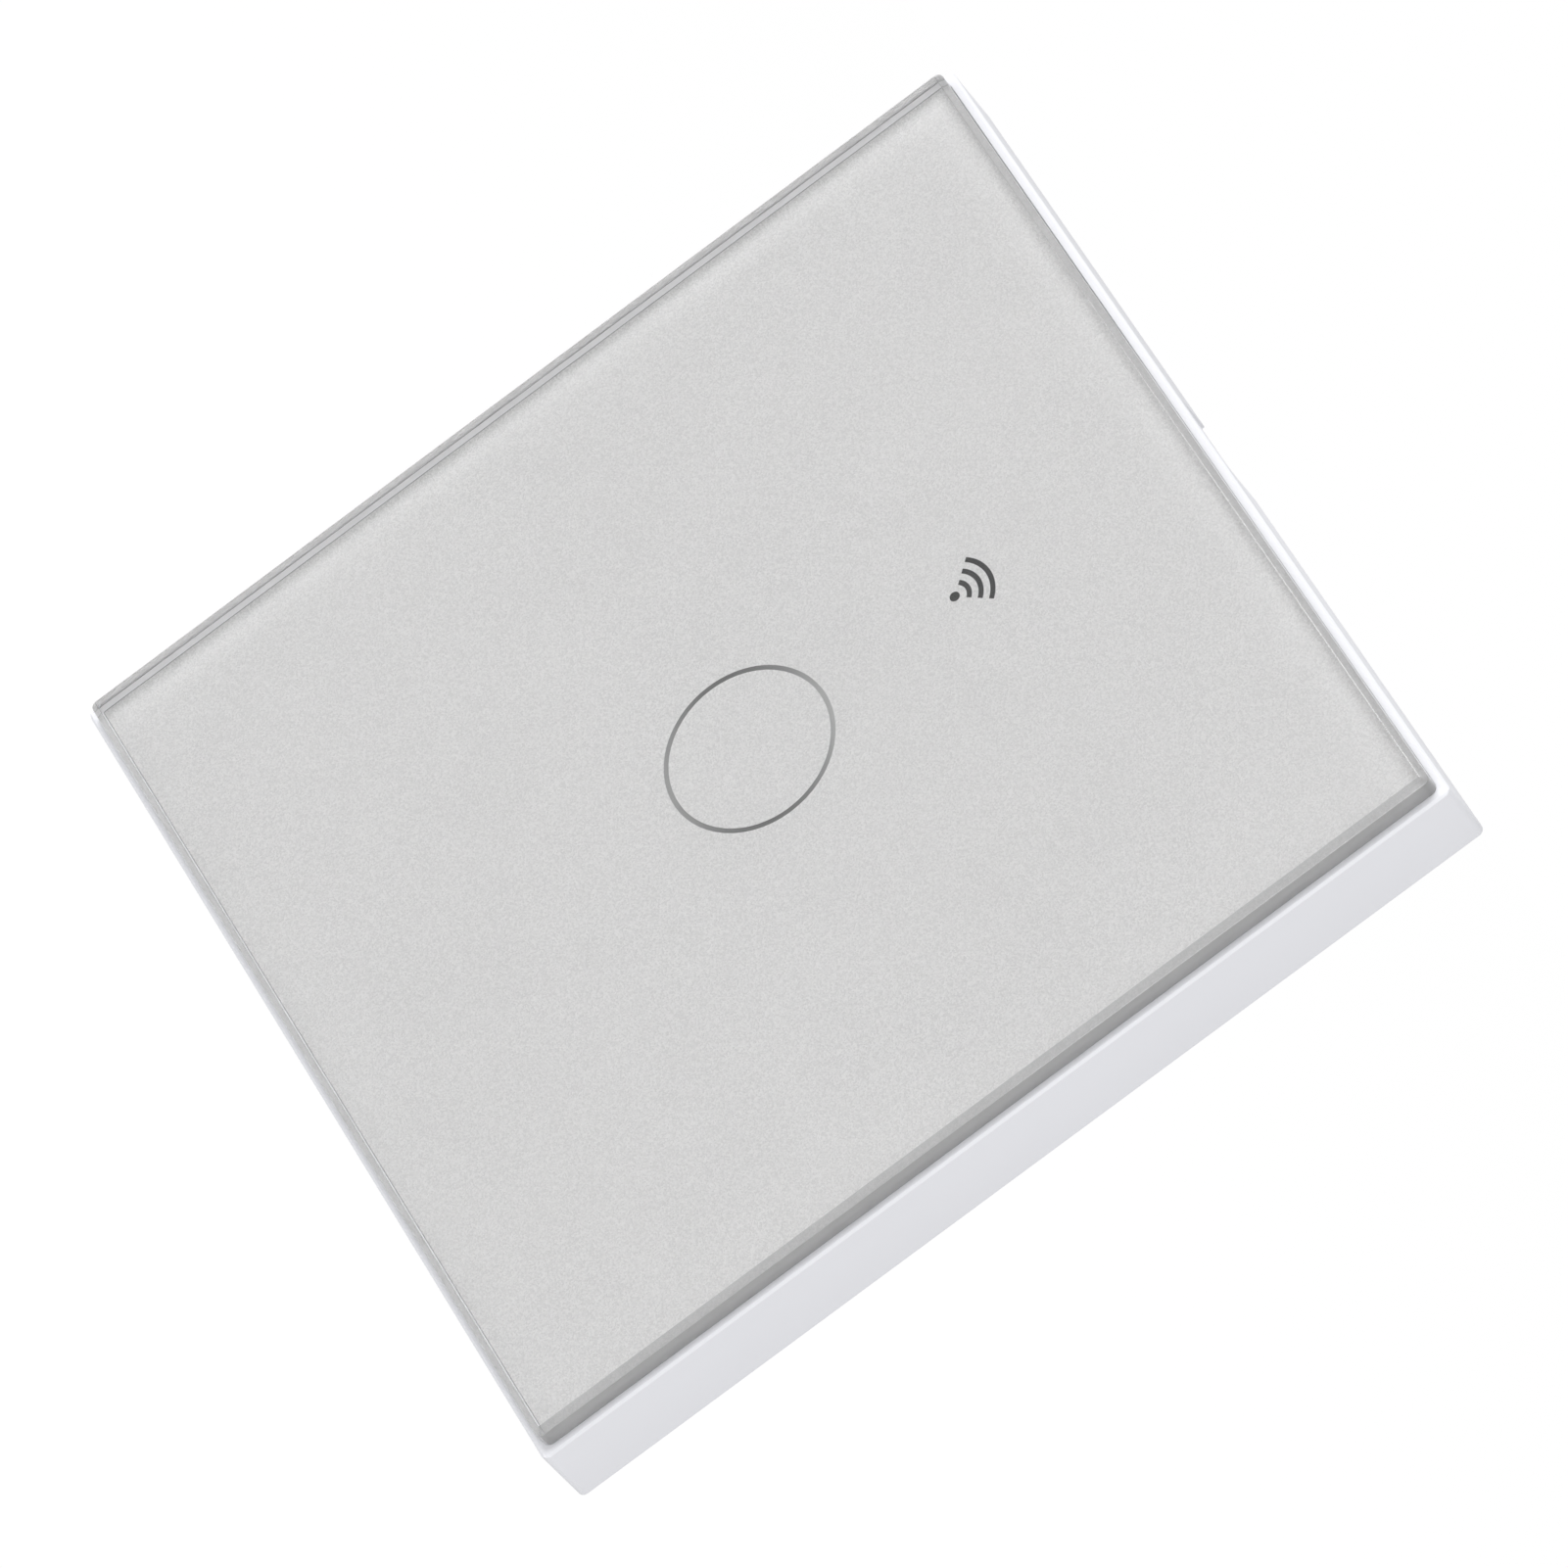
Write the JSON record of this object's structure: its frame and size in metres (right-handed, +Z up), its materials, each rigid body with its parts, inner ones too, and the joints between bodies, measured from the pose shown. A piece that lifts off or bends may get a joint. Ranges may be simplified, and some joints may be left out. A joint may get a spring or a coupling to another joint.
{
  "type": "touch light switch",
  "caption": "Square touch light switch: a bevelled silver glass panel in a white frame clips over a wall-box plate with a rear power module and screw wire terminals.",
  "frame": {"origin": "middle of the wall plane, between the two wall-box screw slots on the back of the mounting plate", "axes": "+Z up the wall, +X to the right seen from the front, -Y out of the wall towards the user, +Y into the wall box"},
  "size_m": [0.086, 0.0313, 0.086],
  "materials": {
    "glass": "polished",
    "silver_print": "fine metallic",
    "mark_print": "smoky translucent ink",
    "tape": "foam",
    "white_plastic": "satin moulding",
    "frosted_plastic": "frosted",
    "housing_plastic": "fine spark texture",
    "circuit_board": "solder mask",
    "zinc_steel": "zinc plated",
    "spring_steel": "nickel plated",
    "led": "clear resin",
    "chip_plastic": "moulded",
    "chip_part": "ceramic",
    "radio_board": "solder mask",
    "brass": "plain",
    "relay_plastic": "moulded",
    "ferrite": "sintered",
    "winding_tape": "polyester tape",
    "capacitor_sleeve": "shrink sleeve",
    "film_case": "moulded",
    "varistor_coat": "dipped",
    "fuse_case": "moulded",
    "terminal_plastic": "moulded"
  },
  "bodies": {
    "base": {"mounting_plate": "white_plastic", "rear_housing": "housing_plastic", "housing_screws": "zinc_steel", "board_screws": "zinc_steel", "touch_board": "circuit_board", "touch_spring": "spring_steel", "ring_leds": "led", "status_led": "led", "touch_chip": "chip_plastic", "small_chips": "chip_part", "radio_board": "radio_board", "radio_shield": "zinc_steel", "pin_header": "chip_plastic", "header_pins": "brass", "header_socket": "chip_plastic", "power_board": "circuit_board", "relay": "relay_plastic", "transformer_core": "ferrite", "transformer_coil": "winding_tape", "bulk_capacitor": "capacitor_sleeve", "output_capacitor": "capacitor_sleeve", "film_capacitor": "film_case", "varistor": "varistor_coat", "fuse": "fuse_case", "choke": "ferrite", "bridge_rectifier": "chip_plastic", "terminal_block": "terminal_plastic", "terminal_bars": "brass"},
    "front_panel": {"glass_panel": "glass", "silver_print": "silver_print", "touch_marks": "mark_print", "panel_tape": "tape", "panel_frame": "white_plastic", "ring_light_guide": "frosted_plastic", "status_light_pipe": "frosted_plastic"},
    "clamp_screw_1": {"terminal_screw_1": "zinc_steel"},
    "clamp_screw_2": {"terminal_screw_2": "zinc_steel"},
    "clamp_screw_3": {"terminal_screw_3": "zinc_steel"},
    "wire_clamp_1": {"terminal_clamp_1": "zinc_steel"},
    "wire_clamp_2": {"terminal_clamp_2": "zinc_steel"},
    "wire_clamp_3": {"terminal_clamp_3": "zinc_steel"}
  },
  "joints": [
    {"name": "panel_pull", "type": "slide", "parent": "base", "child": "front_panel", "axis": [0, -1, 0], "range_m": [0, 0.025]},
    {"name": "screw_turn_1", "type": "hinge", "parent": "base", "child": "clamp_screw_1", "pos_m": [-0.0076, 0.0188, -0.0194], "axis": [0, -1, 0], "range_deg": [0, 1440]},
    {"name": "screw_turn_2", "type": "hinge", "parent": "base", "child": "clamp_screw_2", "pos_m": [0, 0.0188, -0.0194], "axis": [0, -1, 0], "range_deg": [0, 1440]},
    {"name": "screw_turn_3", "type": "hinge", "parent": "base", "child": "clamp_screw_3", "pos_m": [0.0076, 0.0188, -0.0194], "axis": [0, -1, 0], "range_deg": [0, 1440]},
    {"name": "clamp_rise_1", "type": "slide", "parent": "base", "child": "wire_clamp_1", "axis": [0, 1, 0], "range_m": [0, 0.002]},
    {"name": "clamp_rise_2", "type": "slide", "parent": "base", "child": "wire_clamp_2", "axis": [0, 1, 0], "range_m": [0, 0.002]},
    {"name": "clamp_rise_3", "type": "slide", "parent": "base", "child": "wire_clamp_3", "axis": [0, 1, 0], "range_m": [0, 0.002]}
  ],
  "couplings": [
    {"joint": "screw_turn_1", "follows": "clamp_rise_1", "rad_per_m": 12566},
    {"joint": "screw_turn_2", "follows": "clamp_rise_2", "rad_per_m": 12566},
    {"joint": "screw_turn_3", "follows": "clamp_rise_3", "rad_per_m": 12566}
  ]
}
